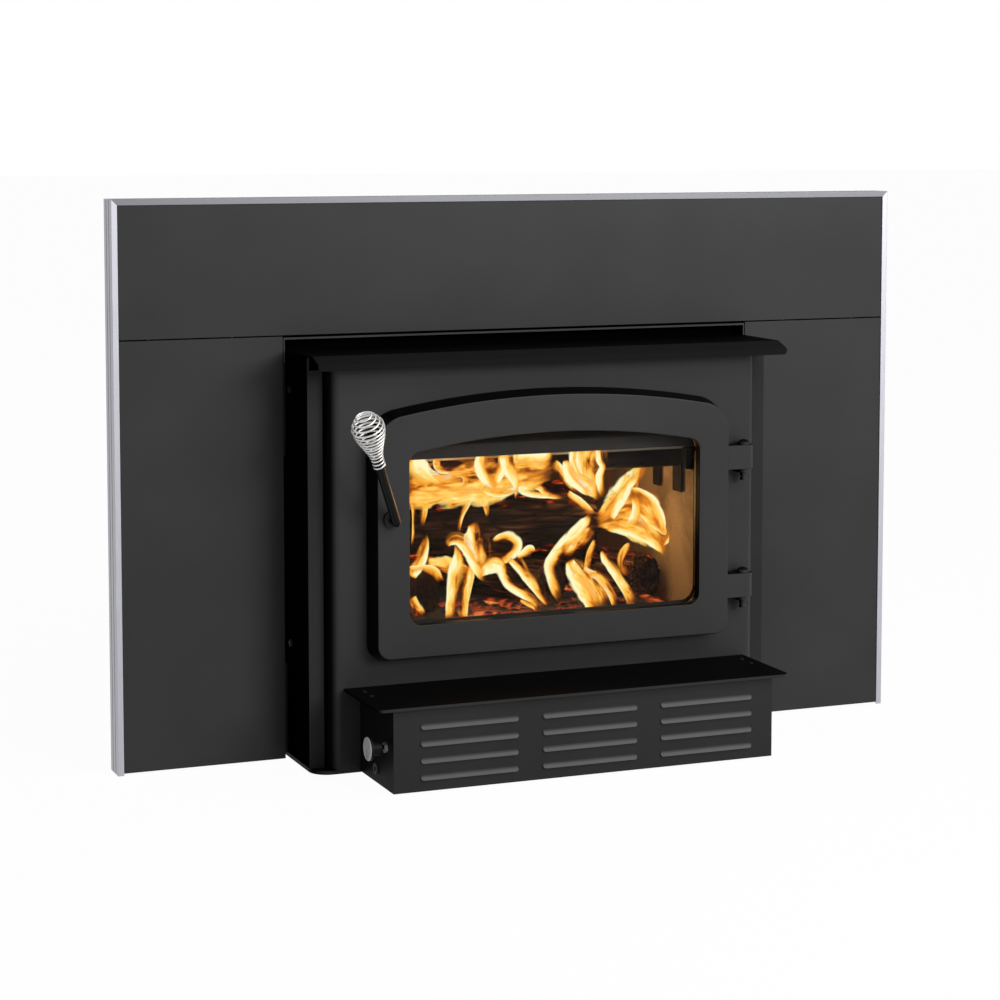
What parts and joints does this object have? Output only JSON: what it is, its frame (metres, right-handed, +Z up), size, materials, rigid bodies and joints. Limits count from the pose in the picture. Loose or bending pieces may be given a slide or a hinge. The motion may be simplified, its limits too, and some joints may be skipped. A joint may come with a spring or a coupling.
{
  "type": "fireplace insert",
  "caption": "Wood-burning fireplace insert: lined steel firebox with arched glazed door, coil-spring latch handle, front blower box, folded top shelf and framed steel faceplate.",
  "frame": {"origin": "on the underside of the base plate, on the insert's middle plane, in the plane of the faceplate's front", "axes": "+X to the right as seen from the room, +Y into the wall, +Z up"},
  "size_m": [1.1176, 0.67, 0.7366],
  "materials": {
    "black_paint": "matt high-temperature paint",
    "faceplate_paint": "satin high-temperature paint",
    "trim_metal": "satin anodised",
    "firebox_steel": "bare plate, darkened by fire",
    "heat_steel": "stainless tube, tinted by heat",
    "firebrick": "rough fired clay",
    "baffle_board": "pressed mineral board",
    "ceramic_wool": "fibrous blanket",
    "bark": "charred bark",
    "fasteners": "zinc plated",
    "door_glass": "clear ceramic glass",
    "gasket_rope": "woven glass-fibre rope",
    "handle_steel": "dark oxide on turned steel",
    "spring_wire": "bright nickel-plated wire",
    "fan_metal": "galvanised sheet",
    "motor_metal": "dull enamel",
    "knob_plastic": "moulded",
    "grommet_rubber": "moulded"
  },
  "bodies": {
    "root": {"base_plate": "black_paint", "casing_right": "black_paint", "casing_left": "black_paint", "casing_back": "black_paint", "casing_top": "black_paint", "casing_spacers": "black_paint", "shelf": "black_paint", "front_plate": "black_paint", "hinge_tongues": "black_paint", "hinge_pins": "black_paint", "opening_header": "black_paint", "faceplate_brackets": "black_paint", "blower_housing": "black_paint", "blower_lid": "black_paint", "faceplate_right": "faceplate_paint", "faceplate_left": "faceplate_paint", "faceplate_top": "faceplate_paint", "trim_left": "trim_metal", "trim_right": "trim_metal", "trim_top": "trim_metal", "trim_corner_keys": "trim_metal", "firebox_floor": "firebox_steel", "firebox_right": "firebox_steel", "firebox_left": "firebox_steel", "firebox_back": "firebox_steel", "firebox_roof": "firebox_steel", "firebox_legs": "firebox_steel", "flue_collar": "firebox_steel", "air_channels": "firebox_steel", "tube_brackets": "firebox_steel", "airwash_deflector": "firebox_steel", "damper_guides": "firebox_steel", "secondary_air_tubes": "heat_steel", "firebricks_floor": "firebrick", "firebricks_walls": "firebrick", "baffle_boards": "baffle_board", "insulation_blanket": "ceramic_wool", "logs_lower": "bark", "logs_upper": "bark", "casing_screws": "fasteners", "faceplate_screws": "fasteners", "blower_lid_screws": "fasteners", "blower_scrolls": "fan_metal", "blower_motor": "motor_metal", "speed_control": "motor_metal", "cord_grommet": "grommet_rubber"},
    "door": {"door_frame": "black_paint", "door_glass": "door_glass", "glass_gasket": "gasket_rope", "glass_retainers": "fasteners", "door_gasket": "gasket_rope", "door_hinge_lugs": "black_paint", "handle_boss": "black_paint"},
    "handle": {"handle_rod": "handle_steel", "spring_grip": "spring_wire", "latch_finger": "handle_steel", "latch_nut": "handle_steel"},
    "knob": {"speed_knob": "knob_plastic"},
    "air_control": {"air_damper": "firebox_steel"},
    "fan": {"blower_fan": "fan_metal"}
  },
  "joints": [
    {"name": "door_swing", "type": "hinge", "parent": "root", "child": "door", "pos_m": [0.278, -0.1085, 0.2985], "axis": [0, 0, 1], "range_deg": [0, 110]},
    {"name": "handle_turn", "type": "hinge", "parent": "door", "child": "handle", "pos_m": [-0.229, -0.1225, 0.3303], "axis": [0, 1, 0], "range_deg": [-50, 0]},
    {"name": "knob_turn", "type": "hinge", "parent": "root", "child": "knob", "pos_m": [-0.264, -0.196, 0.0555], "axis": [-1, 0, 0], "range_deg": [0, 270]},
    {"name": "air_slide", "type": "slide", "parent": "root", "child": "air_control", "axis": [1, 0, 0], "range_m": [0, 0.058]},
    {"name": "fan_spin", "type": "hinge", "parent": "root", "child": "fan", "pos_m": [0, -0.165, 0.054], "axis": [1, 0, 0], "continuous": true}
  ]
}
